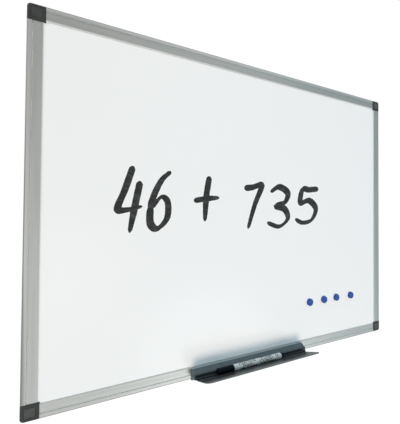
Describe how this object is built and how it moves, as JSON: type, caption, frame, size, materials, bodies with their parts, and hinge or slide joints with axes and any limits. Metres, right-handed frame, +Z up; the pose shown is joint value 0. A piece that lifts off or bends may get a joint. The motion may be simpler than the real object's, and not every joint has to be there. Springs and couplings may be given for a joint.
{
  "type": "whiteboard",
  "caption": "Wall whiteboard with an aluminium frame, moulded corners, a clip-on pen tray, a marker and round magnets.",
  "frame": {"origin": "middle of the four wall screws, in the wall plane, at the centre of the board", "axes": "+Z up, +X along the board's width to the viewer's right, +Y into the wall; the front faces -Y"},
  "size_m": [1.2, 0.1066, 0.9023],
  "materials": {
    "lacquer": "glossy white dry-wipe lacquer on steel",
    "core": "raw brown board",
    "backing": "plain thin sheet",
    "rail": "satin anodised extrusion",
    "corner_plastic": "fine grained moulding",
    "cover_plastic": "smooth moulding",
    "screw_steel": "zinc plated",
    "tray_plastic": "satin slate grey moulding",
    "marker_silver": "silver grey",
    "marker_film": "printed film",
    "marker_black": "gloss black",
    "felt": "pressed fibre",
    "magnet_blue": "glossy blue",
    "ferrite": "sintered"
  },
  "bodies": {
    "board": {"writing_sheet": "lacquer", "core_board": "core", "backing_sheet": "backing", "rail_top": "rail", "rail_bottom": "rail", "rail_left": "rail", "rail_right": "rail", "corner_top_left": "corner_plastic", "corner_top_right": "corner_plastic", "corner_bottom_left": "corner_plastic", "corner_bottom_right": "corner_plastic", "corner_screws": "screw_steel"},
    "cover_top_left": {"screw_cover_top_left": "cover_plastic"},
    "cover_top_right": {"screw_cover_top_right": "cover_plastic"},
    "cover_bottom_left": {"screw_cover_bottom_left": "cover_plastic"},
    "cover_bottom_right": {"screw_cover_bottom_right": "cover_plastic"},
    "tray": {"pen_tray": "tray_plastic"},
    "marker": {"marker_barrel": "marker_silver", "marker_label": "marker_film", "marker_tail_plug": "marker_black", "marker_ink_core": "felt", "marker_nib_holder": "marker_black", "marker_nib": "felt"},
    "marker_cap": {"marker_cap": "marker_black"},
    "magnet_1": {"magnet_shell_1": "magnet_blue", "magnet_disc_1": "ferrite"},
    "magnet_2": {"magnet_shell_2": "magnet_blue", "magnet_disc_2": "ferrite"},
    "magnet_3": {"magnet_shell_3": "magnet_blue", "magnet_disc_3": "ferrite"},
    "magnet_4": {"magnet_shell_4": "magnet_blue", "magnet_disc_4": "ferrite"}
  },
  "joints": [
    {"name": "tray_slide", "type": "slide", "parent": "board", "child": "tray", "axis": [1, 0, 0], "range_m": [-0.356, 0.375]},
    {"name": "marker_lift", "type": "slide", "parent": "tray", "child": "marker", "axis": [0, 0, 1], "range_m": [0, 0.12]},
    {"name": "marker_cap_pull", "type": "slide", "parent": "marker", "child": "marker_cap", "axis": [-1, 0, 0], "range_m": [0, 0.06]},
    {"name": "cover_top_left_pull", "type": "slide", "parent": "board", "child": "cover_top_left", "axis": [0, -1, 0], "range_m": [0, 0.03]},
    {"name": "cover_top_right_pull", "type": "slide", "parent": "board", "child": "cover_top_right", "axis": [0, -1, 0], "range_m": [0, 0.03]},
    {"name": "cover_bottom_left_pull", "type": "slide", "parent": "board", "child": "cover_bottom_left", "axis": [0, -1, 0], "range_m": [0, 0.03]},
    {"name": "cover_bottom_right_pull", "type": "slide", "parent": "board", "child": "cover_bottom_right", "axis": [0, -1, 0], "range_m": [0, 0.03]},
    {"name": "magnet_1_pull", "type": "slide", "parent": "board", "child": "magnet_1", "axis": [0, -1, 0], "range_m": [0, 0.05]},
    {"name": "magnet_2_pull", "type": "slide", "parent": "board", "child": "magnet_2", "axis": [0, -1, 0], "range_m": [0, 0.05]},
    {"name": "magnet_3_pull", "type": "slide", "parent": "board", "child": "magnet_3", "axis": [0, -1, 0], "range_m": [0, 0.05]},
    {"name": "magnet_4_pull", "type": "slide", "parent": "board", "child": "magnet_4", "axis": [0, -1, 0], "range_m": [0, 0.05]}
  ]
}
